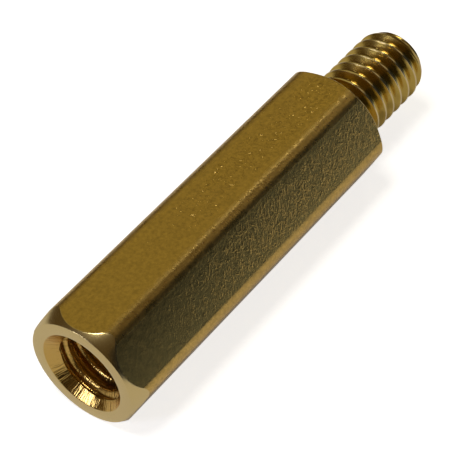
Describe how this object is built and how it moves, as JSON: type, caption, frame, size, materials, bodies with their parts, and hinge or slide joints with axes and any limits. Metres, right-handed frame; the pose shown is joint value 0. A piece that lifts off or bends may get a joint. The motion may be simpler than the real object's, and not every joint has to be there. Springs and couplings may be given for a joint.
{
  "type": "hex standoff",
  "caption": "Hexagonal brass spacer bar with a threaded stud at its far end and a countersunk, tapped hole at its near end.",
  "frame": {"origin": "centre of the open end's face, on the axis", "axes": "+X along the axis towards the stud, +Z the outward normal of the upper flat; the part lies on the flat opposite"},
  "size_m": [0.0259, 0.0066, 0.006],
  "materials": {
    "brass": "bright drawn and turned brass, a little tarnished on the flats"
  },
  "bodies": {
    "root": {"hex_standoff": "brass"}
  },
  "joints": []
}
